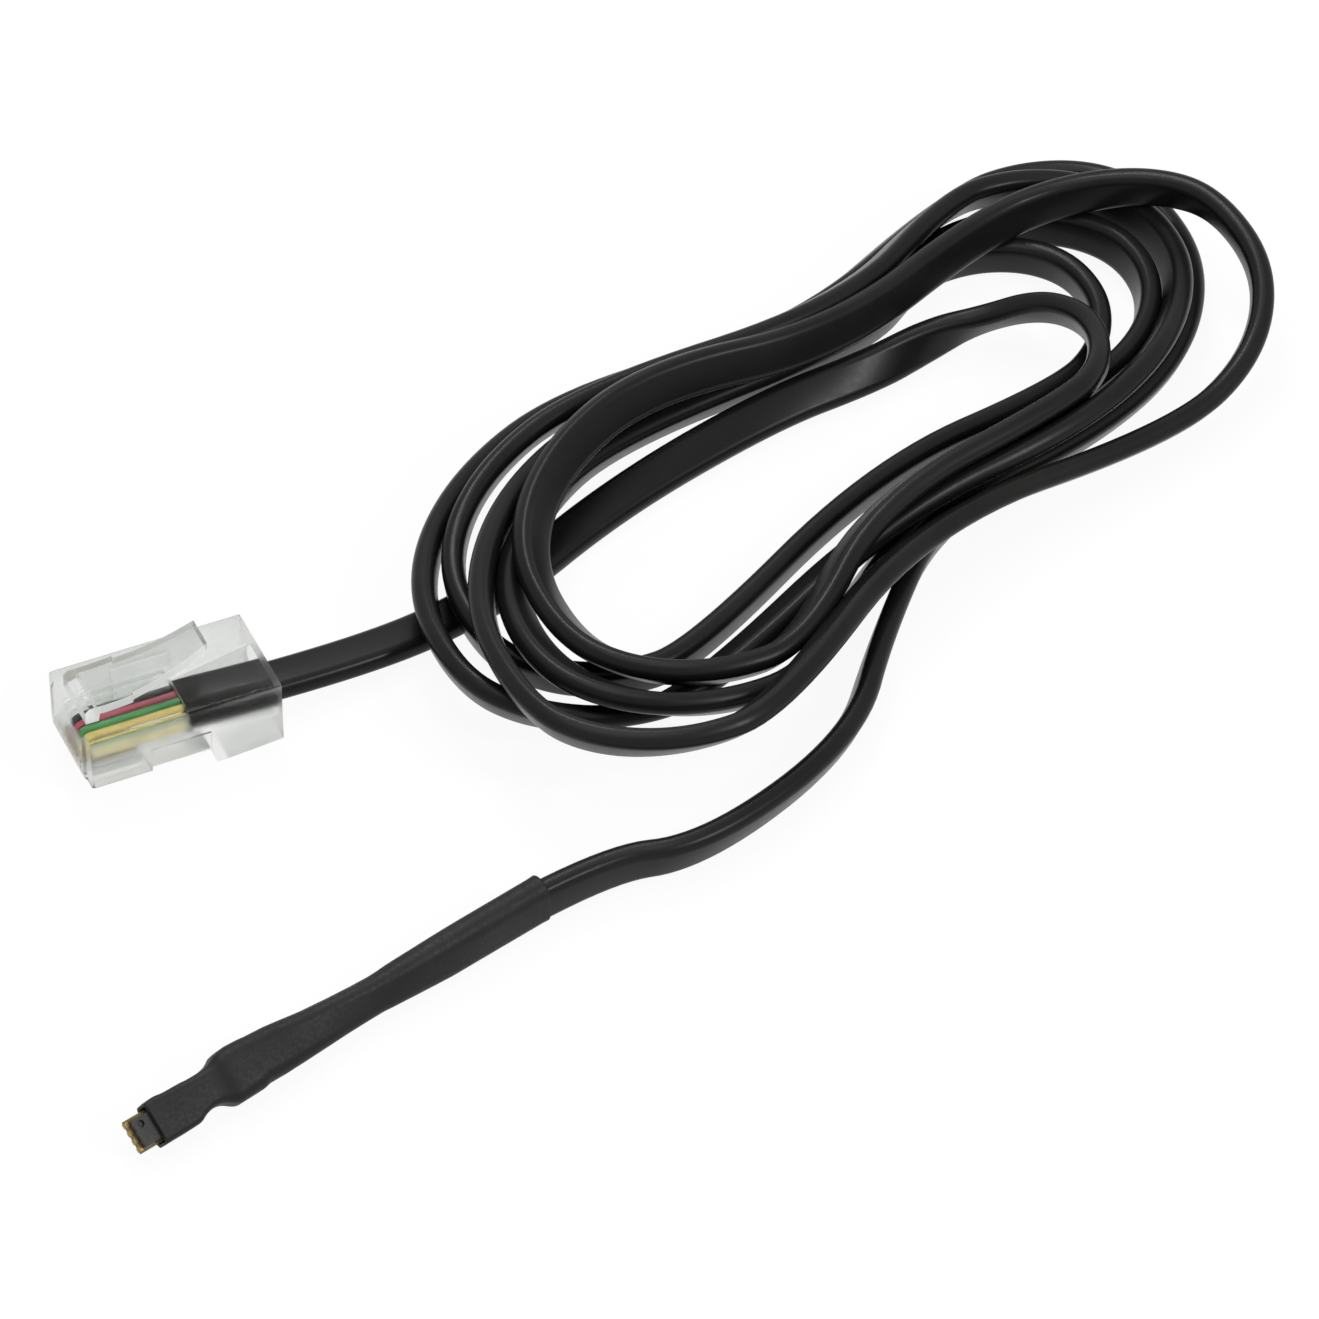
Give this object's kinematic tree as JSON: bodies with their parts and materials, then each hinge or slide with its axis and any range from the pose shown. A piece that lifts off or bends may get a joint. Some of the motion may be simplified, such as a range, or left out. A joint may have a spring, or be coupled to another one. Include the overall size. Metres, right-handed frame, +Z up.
{
  "type": "rack temperature sensor",
  "caption": "Temperature probe for an equipment rack: sensor board in a heat-shrink sleeve on a flat black cable, lying in a loose hank, with a clear modular plug.",
  "frame": {"origin": "on the table, under the middle of the sleeved probe", "axes": "+X along the probe from its tip towards the cable, +Z up from the table on which it lies"},
  "size_m": [0.1729, 0.064, 0.0131],
  "materials": {
    "heat_shrink": "matte",
    "board_laminate": "satin",
    "chip_resin": "matte",
    "capacitor_ceramic": "satin",
    "gold_plate": "polished",
    "solder": "satin",
    "core_black": "gloss",
    "core_red": "gloss",
    "core_green": "gloss",
    "core_yellow": "gloss",
    "cable_jacket": "satin",
    "clear_plastic": "gloss"
  },
  "bodies": {
    "root": {"heat_shrink_sleeve": "heat_shrink", "sensor_board": "board_laminate", "sensor_chip": "chip_resin", "capacitor": "capacitor_ceramic", "edge_pads": "gold_plate", "solder_joints": "solder", "probe_core_black": "core_black", "probe_core_red": "core_red", "probe_core_green": "core_green", "probe_core_yellow": "core_yellow", "cable_probe_end": "cable_jacket", "cable_coil": "cable_jacket", "cable_plug_end": "cable_jacket", "plug_core_black": "core_black", "plug_core_red": "core_red", "plug_core_green": "core_green", "plug_core_yellow": "core_yellow", "contact_black": "gold_plate", "contact_red": "gold_plate", "contact_green": "gold_plate", "contact_yellow": "gold_plate", "plug_body": "clear_plastic"}
  },
  "joints": []
}
